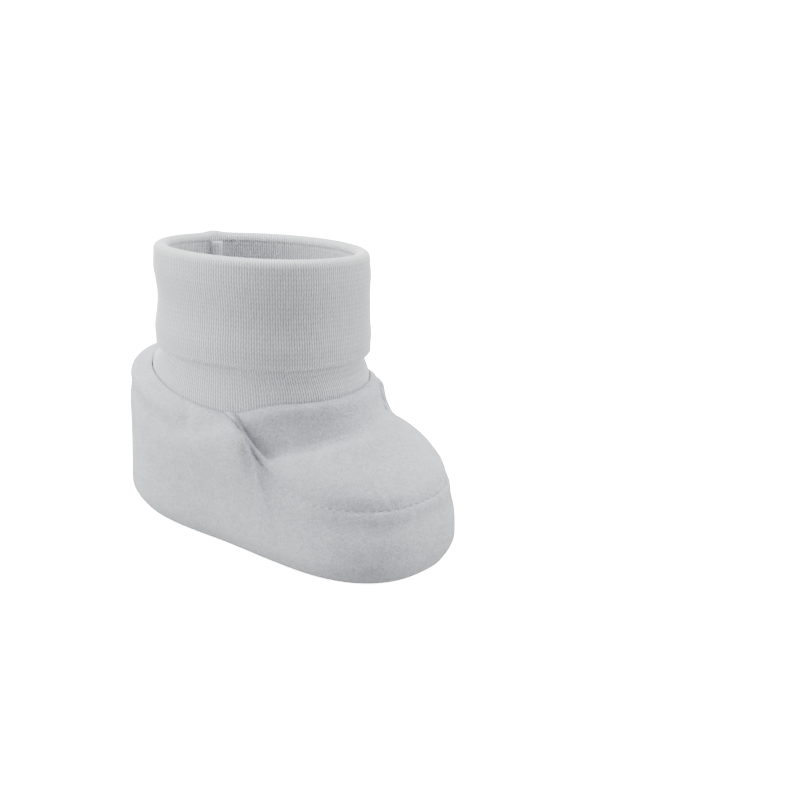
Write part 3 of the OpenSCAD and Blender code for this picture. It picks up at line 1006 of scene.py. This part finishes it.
@dataclass
class Foot:
    """The padded foot: velour outside, wadding within, jersey lining inside."""

    form: FootForm
    velour: VelourFinish
    wadding: WaddingFinish
    jersey: JerseyFinish
    wall_puff: Puff
    vamp_puff: Puff
    seam_sink: float = 1.5 * MM
    seam_roll: float = 4.5 * MM
    pucker: float = 0.14 * MM
    pucker_pitch: float = 4.6 * MM
    collar_groove: float = 0.8 * MM
    fullness: float = 0.5 * MM
    overhang: float = 0.8 * MM
    hem_roll: float = 1.5 * MM
    heel_groove: float = 0.7 * MM
    heel_groove_reach: float = 2.5 * MM
    lip: float = 0.5 * MM
    lump: float = 0.18 * MM
    sole_inset: float = 1.9 * MM
    coarseness: int = 4
    wall_rows: int = 80
    wall_columns: int = 560
    vamp_rows: int = 90
    vamp_columns: int = 300

    def wall_shares(self, rows: int) -> np.ndarray:
        """Shares up the wall, closer together round the rolled edge."""
        even = np.linspace(0, 1, rows)
        straight = 0.72
        climb = even / straight * 0.87
        roll = 0.87 + 0.13 * np.sin((even - straight) / (1 - straight) * math.pi / 2)
        return np.where(even < straight, climb, roll)

    def vamp_angles(self, columns: int) -> np.ndarray:
        """Angles across the vamp from its left end to its right end."""
        even = np.linspace(-1, 1, columns)
        eased = (even + np.sin(even * math.pi / 2)) / 2
        return TOE + (math.radians(90) - self.form.corner_angle) * eased

    def ring_angles(self, columns: int) -> np.ndarray:
        """Angles once round from the heel."""
        return HEEL + np.linspace(0, TURN, columns, endpoint=False)

    def wall_grid(self, rows: int, columns: int, depth: float, foot: float) -> np.ndarray:
        """The side wall's surface at a depth."""
        q, t = np.meshgrid(self.wall_shares(rows), self.ring_angles(columns), indexing="ij")
        z = self.form.wall_level(q, foot, self.form.ply_top(t, depth))
        return self.form.wall_point(t, z, depth)

    def vamp_grid(self, rows: int, columns: int, depth: float) -> np.ndarray:
        """The vamp's surface at a depth."""
        s, t = np.meshgrid(np.linspace(0, 1, rows), self.vamp_angles(columns), indexing="ij")
        return self.form.vamp_point(t, s, depth)

    def plumped(
        self, grid: Callable[[int, int], np.ndarray], size: tuple[int, int], puff: Puff, wrap: bool
    ) -> np.ndarray:
        """A fine grid moved as far as the simulated coarse one has moved.

        Args:
            grid: Makes the panel's grid for a number of rows and columns.
            size: Rows and columns wanted.
            puff: The air pressure in the panel.
            wrap: Whether the columns close into a ring.

        Returns:
            The fine plumped grid.
        """
        rows, columns = size
        fine = grid(rows, columns)
        coarse = grid(rows // self.coarseness, columns // self.coarseness)
        hold = np.zeros(coarse.shape[:2])
        hold[[0, -1]] = 1
        if not wrap:
            hold[:, [0, -1]] = 1
        moved = puff.settle(coarse, hold, wrap) - coarse
        return fine + spread_rows(moved, rows, columns, wrap)

    def seam_ripple(self, away: np.ndarray, along: np.ndarray, seed: int) -> np.ndarray:
        """Puckers beside a seam: none on it, strongest just off it.

        Args:
            away: Distance from the seam.
            along: Distance along the seam.
            seed: Fixes where the puckers fall.

        Returns:
            Heights above the plumped surface.
        """
        reach = away / (2 * MM)
        return self.pucker * waves(along, self.pucker_pitch, seed) * reach * np.exp(1 - reach)

    def drawn_in(
        self, points: np.ndarray, normal: np.ndarray, away: np.ndarray, t: np.ndarray
    ) -> np.ndarray:
        """Draws cloth in towards the vamp seam, so that both of its panels meet there.

        Args:
            points: The panel's grid.
            normal: The panel's normals.
            away: Distance of each point from the seam.
            t: Angle of each point.

        Returns:
            The grid, rolled in beside the seam.
        """
        near = unit(1 - away / self.seam_roll)
        way = mix(normal, self.form.seam_way(t), (near**2)[..., None])
        return points - way * (self.seam_sink * self.form.seam_hold(t) * near**2.2)[..., None]

    def side_wall(self) -> None:
        """The velour band round the foot, drawn in at the vamp, sole and heel seams."""
        form = self.form
        size = (self.wall_rows, self.wall_columns)
        outer = self.plumped(
            lambda rows, columns: self.wall_grid(rows, columns, 0, form.wall_foot),
            size,
            self.wall_puff,
            True,
        )
        inner = self.wall_grid(*size, form.velour, form.wall_foot)
        climb, round_ = travel(outer, 0), travel(outer, 1)
        t = np.broadcast_to(self.ring_angles(size[1]), climb.shape)
        steep = np.gradient(outer[-1, :, 2]) / np.gradient(round_[-1])
        from_top = (climb[-1:] - climb) / np.hypot(1, steep)
        normal = grid_normals(outer, True)
        hold = form.seam_hold(t)
        back = smooth((np.sin(t) + math.sin(form.corner_angle)) / 0.35)
        lift = self.seam_ripple(from_top, round_[-1:], 3) * hold
        lift += 0.3 * self.seam_ripple(climb, round_[:1], 5)
        lift -= self.overhang * bell(from_top, 5 * MM, 3.5 * MM) * hold
        lift -= self.collar_groove * bell(from_top, 10.5 * MM, 3 * MM) * back
        lift += 0.4 * self.collar_groove * bell(from_top, 5 * MM, 2.5 * MM) * back
        heel = unit(1 - np.abs(turn_gap(t, HEEL)) * form.width * 0.5 / self.heel_groove_reach)
        lift -= self.heel_groove * heel**2 * smooth(from_top / (8 * MM))
        outer = self.drawn_in(outer + normal * lift[..., None], normal, from_top, t)
        under = unit(1 - climb / (4 * MM)) ** 2 * self.hem_roll
        level = normal * [1, 1, 0]
        level /= np.linalg.norm(level, axis=2, keepdims=True)
        outer = outer - (level + np.array([0, 0, 1.1])) * under[..., None]
        piece = shell("velour_side_wall", form.shaped(outer), form.shaped(inner), True)
        place(piece, Body.FOOT, Slot.VELOUR, ("side_wall",), self.velour)

    def vamp(self) -> None:
        """The velour toe piece with the crease below its puffed collar."""
        form = self.form
        size = (self.vamp_rows, self.vamp_columns)
        outer = self.plumped(
            lambda rows, columns: self.vamp_grid(rows, columns, 0), size, self.vamp_puff, False
        )
        inner = self.vamp_grid(*size, form.velour)
        climb, round_ = travel(outer, 0), travel(outer, 1)
        from_top = climb[-1:] - climb
        t = np.broadcast_to(self.vamp_angles(size[1]), climb.shape)
        normal = grid_normals(outer, False)
        wide = smooth(climb[-1:] / (14 * MM))
        off_seam = smooth(climb / (5 * MM)) * wide
        lift = self.seam_ripple(climb, round_[:1], 11) * form.seam_hold(t)
        lift += self.fullness * bell(climb, 8 * MM, 6 * MM) * off_seam
        lift += self.lip * bell(from_top, 3 * MM, 2.2 * MM) * off_seam
        outer = self.drawn_in(outer + normal * lift[..., None], normal, climb, t)
        piece = shell("velour_vamp", form.shaped(outer), form.shaped(inner), False)
        place(piece, Body.FOOT, Slot.VELOUR, ("vamp",), self.velour)

    def flat_ply(
        self, name: str, depth: float, low: float, high: float, crown: float
    ) -> bpy.types.Object:
        """A ply that lies under the foot: closed, with a rounded rim and a soft crown.

        Args:
            name: The piece's name.
            depth: How far its edge is in from the outline.
            low: Height of its underside.
            high: Height of its top.
            crown: How far its middle stands above that.

        Returns:
            The object.
        """
        columns, rings = 240, 22
        middle, flat_edge = 0.02, 0.97
        t = self.ring_angles(columns)
        thick = high - low
        flat = np.linspace(middle, flat_edge, rings)
        radii = np.concatenate([flat, [0.99, 1.0, 1.0, 0.99]])
        under = np.concatenate([np.zeros(rings), [0.04, 0.25, 0.6, 0.92]])
        rows = []
        for radius, share in zip(radii, under):
            rows.append(self._flat_ring(t, depth, radius, low + thick * share))
        for radius in np.linspace(flat_edge, middle, rings):
            dome = crown * (1 - radius**4)
            rows.append(self._flat_ring(t, depth, radius, high + dome))
        points = np.stack(rows)
        if crown > 0:
            lumps = waves(points[..., 0] + 0.3 * points[..., 1], 17 * MM, 4)
            lumps += waves(points[..., 1] - 0.2 * points[..., 0], 21 * MM, 6)
            upper = np.arange(len(rows))[:, None] >= len(rows) - rings
            points[..., 2] += self.lump * lumps * upper
        points = self.form.shaped(points)
        return loop_piece(name, points, True, cloth_uv(points, True))

    def _flat_ring(self, t: np.ndarray, depth: float, radius: float, z: float) -> np.ndarray:
        """One ring of a flat ply."""
        xy = self.form.outline(t, depth) * radius
        return np.concatenate([xy, np.full((len(t), 1), z)], -1)

    def sole(self) -> None:
        """The velour sole, flat where it rests, and the ply of wadding above it."""
        form = self.form
        inset = form.bottom_tuck + self.sole_inset
        piece = self.flat_ply("velour_sole", inset, 0, form.velour, 0)
        place(piece, Body.FOOT, Slot.VELOUR, ("sole",), self.velour)
        low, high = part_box("sole_wadding")
        inset = form.wadding_faces[1] + form.gap + form.bottom_tuck
        piece = self.flat_ply("wadding_under_foot", inset, low[2], high[2], 0)
        place(piece, Body.FOOT, Slot.WADDING, ("sole_wadding",), self.wadding)

    def insole(self) -> None:
        """The lining under the foot, softly crowned by the wadding below it."""
        form = self.form
        inset = form.lining_faces[1] + 2 * form.gap
        piece = self.flat_ply(
            "jersey_insole", inset, form.insole_bottom, form.insole_top, 0.5 * MM
        )
        place(piece, Body.FOOT, Slot.JERSEY, ("insole_lining",), self.jersey)

    def wall_ply(
        self, name: str, faces: tuple[float, float], foot: float, slack: float
    ) -> bpy.types.Object:
        """A wadding or lining ply of the side wall, with soft folds on its inner face."""
        form = self.form
        rows, columns = 34, 300
        q, t = np.meshgrid(np.linspace(0, 1, rows), self.ring_angles(columns), indexing="ij")
        grids = []
        for depth in faces:
            z = form.wall_level(q, foot, form.padding_top(t, depth))
            grids.append(form.wall_point(t, z, depth))
        return self._folded(name, grids, slack, True)

    def vamp_ply(self, name: str, faces: tuple[float, float], slack: float) -> bpy.types.Object:
        """A wadding or lining ply of the vamp."""
        steps, skipped, rows, columns = 33, 2, 40, 150
        where = np.linspace(skipped, steps - 1 - skipped, columns)
        t_row = np.interp(where, np.arange(steps), self.vamp_angles(steps))
        s, t = np.meshgrid(np.linspace(0, 0.97, rows), t_row, indexing="ij")
        grids = [self.form.vamp_padding_point(t, s, depth) for depth in faces]
        return self._folded(name, grids, slack, False)

    def _folded(
        self, name: str, grids: list[np.ndarray], slack: float, wrap: bool
    ) -> bpy.types.Object:
        """A ply whose inner face has low soft folds, none at its edges."""
        outer, inner = grids
        climb, round_ = travel(inner, 0), travel(inner, 1)
        edge = smooth(np.minimum(climb, climb[-1:] - climb) / (4 * MM))
        if not wrap:
            edge = edge * smooth(np.minimum(round_, round_[:, -1:] - round_) / (5 * MM))
        folds = 0.5 + 0.5 * waves(round_ + 0.6 * climb, 13 * MM, 9)
        join = smooth(np.minimum(round_, round_[:, -1:] - round_) / (8 * MM))
        inner = inner - grid_normals(inner, wrap) * (slack * folds * edge * join)[..., None]
        return shell(name, self.form.shaped(outer), self.form.shaped(inner), wrap)

    def fillings(self) -> None:
        """The wadding and the lining of the side wall and the vamp."""
        form = self.form
        wall = self.wall_ply("wadding_side_wall", form.wadding_faces, form.wall_foot, 0)
        place(wall, Body.FOOT, Slot.WADDING, ("side_wall_wadding",), self.wadding)
        vamp = self.vamp_ply("wadding_vamp", form.wadding_faces, 0)
        place(vamp, Body.FOOT, Slot.WADDING, ("vamp_wadding",), self.wadding)
        wall = self.wall_ply("jersey_side_wall", form.lining_faces, form.insole_bottom, 0.7 * MM)
        place(wall, Body.FOOT, Slot.JERSEY, ("side_wall_lining",), self.jersey)
        vamp = self.vamp_ply("jersey_vamp", form.lining_faces, 0.5 * MM)
        place(vamp, Body.FOOT, Slot.JERSEY, ("vamp_lining",), self.jersey)

    def build(self) -> None:
        """Builds and dresses every ply of the foot."""
        self.side_wall()
        self.vamp()
        self.sole()
        self.insole()
        self.fillings()


@dataclass
class Ankle:
    """The rib-knit tube, its inner seam ridge and the cuff turned down over it."""

    form: FootForm
    knit: KnitFinish
    ribs: TreeBuilder
    wales: int = 130
    steps_per_wale: int = 8
    hem_tilt: float = math.radians(4.9)
    hem_slouch: float = math.radians(6.5)
    rim_tilt: float = math.radians(6)
    rim_slouch: float = math.radians(9)
    slide_gap: float = 0.3 * MM
    ridge_angle: float = math.radians(68)
    rib_height: float = 0.08 * MM
    thick: float = 1.8 * MM
    face_inset: float = 0.12 * MM
    rx: float = field(init=False)
    ry: float = field(init=False)
    centre_y: float = field(init=False)
    hem: float = field(init=False)
    rim: float = field(init=False)

    def __post_init__(self) -> None:
        """Reads the cuff's sizes from the frame."""
        low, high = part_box("cuff_band")
        self.rx = (high[0] - low[0]) / 2
        self.ry = (high[1] - low[1]) / 2
        self.centre_y = (high[1] + low[1]) / 2
        self.hem = low[2] + self.lean(self.hem_tilt, self.hem_slouch, 0)
        self.rim = high[2] - self.lean(self.rim_tilt, self.rim_slouch, self.roll)

    @property
    def roll(self) -> float:
        """Radius of the rolled rim."""
        return (2 * self.thick + self.slide_gap) / 2

    def lean(self, tilt: float, slouch: float, depth: float) -> float:
        """How far a leaning ring at a depth rises above its middle."""
        return math.hypot(
            (self.ry - depth) * math.tan(tilt), (self.rx - depth) * math.tan(slouch)
        )

    def angles(self) -> np.ndarray:
        """Angles round the knit, several to a wale."""
        return HEEL + np.linspace(0, TURN, self.wales * self.steps_per_wale, endpoint=False)

    def ring(self, t: np.ndarray, depth: np.ndarray) -> np.ndarray:
        """The cuff's oval drawn in by a depth, as x and y."""
        x = (self.rx - depth) * np.cos(t)
        y = self.centre_y + (self.ry - depth) * np.sin(t)
        return np.stack([x, y], -1)

    def hem_z(self, t: np.ndarray) -> np.ndarray:
        """Height of the hem, which leans up towards the toe and down to the right."""
        lean = self.ry * np.sin(t) * math.tan(self.hem_tilt)
        return self.hem - lean - self.rx * np.cos(t) * math.tan(self.hem_slouch)

    def rim_z(self, t: np.ndarray) -> np.ndarray:
        """Height of the rim, which leans the same ways a little more."""
        lean = self.ry * np.sin(t) * math.tan(self.rim_tilt)
        return self.rim - lean - self.rx * np.cos(t) * math.tan(self.rim_slouch)

    def knit_uv(self, points: np.ndarray) -> np.ndarray:
        """UVs in metres on which a whole number of wales goes round."""
        uv = cloth_uv(points, True)
        uv[..., 0] = np.linspace(0, self.wales * self.knit.wale, uv.shape[1])[None, :]
        return uv

    def raise_ribs(self, piece: bpy.types.Object) -> None:
        """Raises the ribs on a knitted piece."""
        self.ribs.apply(
            piece,
            Wale_Pitch=self.knit.wale,
            Rib_Height=self.rib_height,
            Material=self.knit.material(),
        )

    def tube_grid(self, depth: float, rows: int) -> np.ndarray:
        """The tube's surface at a depth, from inside the ankle edge to below the rim."""
        form = self.form
        q, t = np.meshgrid(np.linspace(0, 1, rows), self.angles(), indexing="ij")
        front_tuck = form.collar_height + form.lining_faces[1]
        start = math.sin(form.corner_angle + math.radians(5))
        frontness = smooth((-np.sin(t) - start) / 0.25)
        tuck = mix(form.padding_drop - 2 * self.slide_gap, front_tuck, frontness)
        edge, neck = form.ankle_z(t), self.hem_z(t)
        top = self.rim_z(t) - self.roll - 0.05 * MM
        z = mix(edge - tuck, top, q)
        drawn = smooth((z - edge) / (neck - edge))[..., None]
        ankle = form.ankle_ring(t, form.gap + depth)
        inset = self.thick + self.slide_gap + depth
        xy = mix(ankle, self.ring(t, inset), drawn)
        return np.concatenate([xy, z[..., None]], -1)

    def tube(self) -> None:
        """The knit tube."""
        rows = 34
        outer = self.tube_grid(self.face_inset, rows)
        inner = self.tube_grid(self.thick - self.face_inset, rows)
        points = np.concatenate([outer, inner[::-1]])
        piece = loop_piece("knit_ankle_tube", points, True, self.knit_uv(points))
        self.raise_ribs(piece)
        place(piece, Body.FOOT, Slot.RIB, ("ankle_tube",), self.knit)

    def ridge(self) -> None:
        """The tube's seam allowance, a soft ridge up its inner face."""
        columns, rows = 17, 60
        across = np.linspace(-1, 1, columns)
        t_all = self.ridge_angle + math.radians(4) * across
        q = np.linspace(0.17, 1, rows)
        levels = 120
        wide = self.tube_grid(self.thick + 0.15 * MM, levels)
        angles = self.angles()
        base = np.stack([self._at_angle(wide, angles, t) for t in t_all], 1)
        at = np.interp(q, np.linspace(0, 1, levels), np.arange(levels))
        low = at.astype(int).clip(0, levels - 2)
        base = mix(base[low], base[low + 1], (at - low)[:, None, None])
        centre = np.array([0, self.centre_y, 0])
        inward = centre - base
        inward[..., 2] = 0
        inward /= np.linalg.norm(inward, axis=2, keepdims=True)
        swell = 1.2 * MM * mix(0.25, 1.0, np.cos(across * math.pi / 2))[None, :]
        wobble = 1 + 0.12 * waves(base[..., 2], 3.2 * MM, 12)
        top = base + inward * (swell * wobble)[..., None]
        piece = shell("knit_seam_ridge", base, top, False)
        place(piece, Body.FOOT, Slot.RIB, ("tube_seam_ridge",), self.knit)

    def _at_angle(self, grid: np.ndarray, angles: np.ndarray, t: float) -> np.ndarray:
        """The column of a ring grid nearest an angle."""
        return grid[:, int(np.argmin(np.abs(turn_gap(angles, t))))]

    def band_loop(self, t: np.ndarray) -> tuple[np.ndarray, np.ndarray]:
        """Cut through the cuff at each angle: depths and heights, loop x columns."""
        hem, rim = self.hem_z(t), self.rim_z(t)
        sag = 0.35 * MM * waves(t * self.rx, 40 * MM, 21)
        bump = bell(turn_gap(t, self.ridge_angle), 0, math.radians(6))
        edge, roll = self.thick / 2, self.roll
        top = rim - roll
        depths, heights = [], []
        for a in np.linspace(0, math.pi, 9):
            depths.append(edge * (1 - math.cos(a)) + 0 * t)
            heights.append(hem + sag + edge * (1 - math.sin(a)))
        for q in np.linspace(0.1, 1, 10):
            depths.append(self.thick + 0 * t)
            heights.append(mix(hem + edge, top, q))
        depths.append(2 * roll + 0 * t)
        heights.append(top)
        for a in np.linspace(0, math.pi, 15)[1:]:
            depths.append(roll * (1 + math.cos(a)) + 0 * t)
            heights.append(top + roll * math.sin(a) * (1 + 0.35 * bump))
        left = smooth(0.35 - 0.9 * np.cos(t))
        for q in np.linspace(0, 1, 34)[1:-1]:
            swell = 0.4 * bell(q, 0.12, 0.15) - 0.8 * bell(q, 0.5, 0.22) * left
            swell += 0.4 * bell(q, 0.88, 0.13)
            depths.append(swell * -MM * smooth(4 * min(q, 1 - q)) + 0 * t)
            heights.append(mix(top, hem + sag + edge, q))
        return np.stack(depths), np.stack(heights)

    def cuff(self) -> None:
        """The turned-down top of the tube, with its rolled rim."""
        t = self.angles()
        depths, heights = self.band_loop(t)
        xy = self.ring(np.broadcast_to(t, depths.shape), depths)
        points = np.concatenate([xy, heights[..., None]], -1)[::-1]
        piece = loop_piece("knit_cuff", points, True, self.knit_uv(points))
        self.raise_ribs(piece)
        place(piece, Body.CUFF, Slot.RIB, ("cuff_band",), self.knit)

    def build(self) -> None:
        """Builds and dresses the tube, its ridge and the cuff."""
        self.tube()
        self.ridge()
        self.cuff()


@dataclass
class Seams:
    """The rows of stitches that join the velour pieces to one another and to the knit."""

    foot: Foot
    thread: ThreadFinish
    tree: TreeBuilder
    pitch: float = 2.3 * MM
    length: float = 1.3 * MM
    width: float = 0.34 * MM

    def row(
        self, name: str, node: str, path: np.ndarray, out: np.ndarray, seed: int
    ) -> None:
        """Sews one row of stitches along a path.

        Args:
            name: The piece's name.
            node: The CAD node that it stands for.
            path: Points along the seam.
            out: Outward direction at each point.
            seed: Fixes how the stitch lengths vary.
        """
        way = travel(path[:, None], 0)[:, 0]
        count = max(int(way[-1] / self.pitch), 2)
        where = (np.arange(count) + 0.5) / count * way[-1]
        points = np.stack([np.interp(where, way, path[:, i]) for i in range(3)], -1)
        faces_out = np.stack([np.interp(where, way, out[:, i]) for i in range(3)], -1)
        tangent = np.stack(
            [np.interp(where, way, np.gradient(path[:, i], way)) for i in range(3)], -1
        )
        mesh = bpy.data.meshes.new(name)
        mesh.from_pydata(points.tolist(), [], [])
        for key, values in (("along", tangent), ("out", faces_out)):
            layer = mesh.attributes.new(key, "FLOAT_VECTOR", "POINT")
            layer.data.foreach_set("vector", values.astype(np.float32).reshape(-1))
        piece = bpy.data.objects.new(name, mesh)
        bpy.context.scene.collection.objects.link(piece)
        self.tree.apply(
            piece,
            Stitch_Length=self.length,
            Thread_Width=self.width,
            Wander=0.25,
            Seed=seed,
            Material=self.thread.material(),
        )
        piece.data.polygons.foreach_set("use_smooth", np.ones(len(piece.data.polygons), bool))
        place(piece, Body.FOOT, Slot.THREAD, (node,), self.thread)

    def vamp_row(self) -> None:
        """Stitches along the vamp seam."""
        form = self.foot.form
        t = self.foot.vamp_angles(400)[6:-6]
        out = form.seam_way(t)
        sunk = (self.foot.seam_sink * form.seam_hold(t) - 0.12 * MM)[:, None]
        path = form.shaped(form.wall_point(t, form.wall_top(t), 0) - out * sunk)
        self.row("stitches_vamp_seam", "vamp_seam_stitches", path, out, 1)

    def sole_row(self) -> None:
        """Stitches along the sole seam."""
        form = self.foot.form
        t = HEEL + np.linspace(0, TURN, 600)
        plan = form.outline(t, form.bottom_tuck + self.foot.hem_roll)
        path = np.concatenate([plan, np.full((len(t), 1), 0.5 * MM)], -1)
        down = np.tile([0.0, 0.0, -1.0], (len(t), 1))
        self.row("stitches_sole_seam", "sole_seam_stitches", form.shaped(path), down, 2)

    def heel_row(self) -> None:
        """Stitches up the heel seam."""
        form = self.foot.form
        z = np.linspace(form.wall_foot + 2 * MM, form.ankle_z(np.array(HEEL)) - 4 * MM, 200)
        path = form.wall_point(np.full_like(z, HEEL), z, 0)
        out = np.tile([0.0, 1.0, 0.0], (len(z), 1))
        self.row("stitches_heel_seam", "heel_seam_stitches", path - out * 0.5 * MM, out, 3)

    def ankle_row(self) -> None:
        """Stitches that hold the velour's ankle edge to the knit tube."""
        form = self.foot.form
        t = HEEL + np.linspace(0, TURN, 600)
        depth = -form.velour / 4
        z = form.ankle_z(t) - form.velour / 2
        path = np.concatenate([form.ankle_ring(t, depth), z[:, None]], -1)
        centre = np.array([0, form.length * form.ankle_back, 0])
        out = path - centre
        out[:, 2] = 0
        out /= np.linalg.norm(out, axis=1, keepdims=True)
        self.row("stitches_ankle_seam", "ankle_seam_stitches", path, out, 4)

    def build(self) -> None:
        """Sews every seam."""
        self.vamp_row()
        self.sole_row()
        self.heel_row()
        self.ankle_row()


# ---- Studio ----


@dataclass(frozen=True)
class Studio:
    """A plain white floor, soft light from all round and the camera."""

    azimuth: float = math.radians(-48.3)
    elevation: float = math.radians(21.8)
    distance: float = 0.84
    aside: float = 31.5 * MM
    above: float = 35.1 * MM
    lens: float = 128.5
    ambient: float = 0.27
    table_glow: float = 1.1
    seen_glow: float = 40.0
    shade_reach: float = 50 * MM
    half_floor: float = 3.0
    side_lamp: float = 0.9
    top_lamp: float = 1.1
    left_power: float = 21.0
    right_power: float = 12.0
    top_power: float = 25.0
    lamp_distance: float = 1.0
    lamp_aim: float = 40 * MM

    def directions(self) -> tuple[Vector, Vector, Vector]:
        """Unit vectors from the object to the camera, to its right and up."""
        back = Vector(
            (
                math.sin(self.azimuth) * math.cos(self.elevation),
                -math.cos(self.azimuth) * math.cos(self.elevation),
                math.sin(self.elevation),
            )
        )
        right = Vector((0, 0, 1)).cross(back).normalized()
        return back, right, back.cross(right)

    def camera(self) -> None:
        """Creates the camera."""
        back, right, up = self.directions()
        lens = bpy.data.cameras.new("camera")
        lens.lens = self.lens
        lens.sensor_width = 36
        lens.clip_start = 0.01
        camera = bpy.data.objects.new("camera", lens)
        camera.location = back * self.distance + right * self.aside + up * self.above
        camera.rotation_euler = back.to_track_quat("Z", "Y").to_euler()
        bpy.context.scene.collection.objects.link(camera)
        bpy.context.scene.camera = camera

    def floor(self) -> None:
        """Creates the floor: a white light table with soft shade where the piece touches it."""
        half = self.half_floor
        corners = np.array([[-half, -half, 0], [half, -half, 0], [half, half, 0], [-half, half, 0]])
        corners[:, 2] = -0.2 * MM
        floor = mesh_object("floor", corners, np.array([[0, 1, 2, 3]]))
        palette = Palette("white_floor")
        tree, nodes = palette.tree, palette.tree.nodes
        shade = palette.node("ShaderNodeAmbientOcclusion", "AO", Distance=self.shade_reach)
        glow = nodes.new("ShaderNodeEmission")
        feed(tree, glow.inputs["Color"], palette.blend(shade ** 0.5, (0.05, 0.05, 0.05), (1, 1, 1)))
        seen = palette.node("ShaderNodeLightPath", "Is Camera Ray")
        feed(tree, glow.inputs["Strength"], seen * (self.seen_glow - self.table_glow) + self.table_glow)
        tree.links.new(glow.outputs[0], nodes["Material Output"].inputs[0])
        floor.data.materials.append(palette.made)

    def lamp(self, name: str, towards: Vector, size: float, power: float) -> None:
        """Adds a large soft lamp that faces the object from a direction."""
        light = bpy.data.lights.new(name, "AREA")
        light.shape = "DISK"
        light.size = size
        light.energy = power
        lamp = bpy.data.objects.new(name, light)
        aim = Vector((0, 0, self.lamp_aim))
        lamp.location = towards.normalized() * self.lamp_distance + aim
        lamp.rotation_euler = towards.to_track_quat("Z", "Y").to_euler()
        bpy.context.scene.collection.objects.link(lamp)

    def light(self) -> None:
        """Soft light from both sides and above, little from the camera's side."""
        world = bpy.data.worlds.new("studio")
        bpy.context.scene.world = world
        world.use_nodes = True
        background = world.node_tree.nodes["Background"]
        background.inputs["Color"].default_value = (1, 1, 1, 1)
        background.inputs["Strength"].default_value = self.ambient
        back, right, up = self.directions()
        high = Vector((0, 0, 1))
        left = high * 0.45 - right - back * 0.1
        self.lamp("lamp_left", left, self.side_lamp, self.left_power)
        opposite = high * 0.4 + right - back * 0.1
        self.lamp("lamp_right", opposite, self.side_lamp, self.right_power)
        self.lamp("lamp_top", high - back * 0.25, self.top_lamp, self.top_power)

    def build(self) -> None:
        """Sets up the studio."""
        self.camera()
        self.floor()
        self.light()


def write_sizes() -> None:
    """Defines a way to give a box as plain lists of numbers, but writes nothing."""

    def plain(box: object) -> list[list[float]]:
        """A box as two lists of numbers."""
        return [[float(number) for number in corner] for corner in box]


def main() -> None:
    """Builds the bootie's sub-assemblies in order, then the studio."""
    logging.basicConfig(level=logging.INFO, format="%(name)s: %(message)s")
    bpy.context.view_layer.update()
    form = FootForm.from_frame()
    foot = Foot(
        form,
        VelourFinish(),
        WaddingFinish(),
        JerseyFinish(),
        wall_puff=Puff(pressure=6.0, cap=1.9 * MM),
        vamp_puff=Puff(pressure=4.0, cap=0.9 * MM),
    )
    foot.build()
    Ankle(form, KnitFinish(), rib_tree()).build()
    Seams(foot, ThreadFinish(), stitch_tree()).build()
    Studio().build()
    write_sizes()


if __name__ == "__main__":
    main()
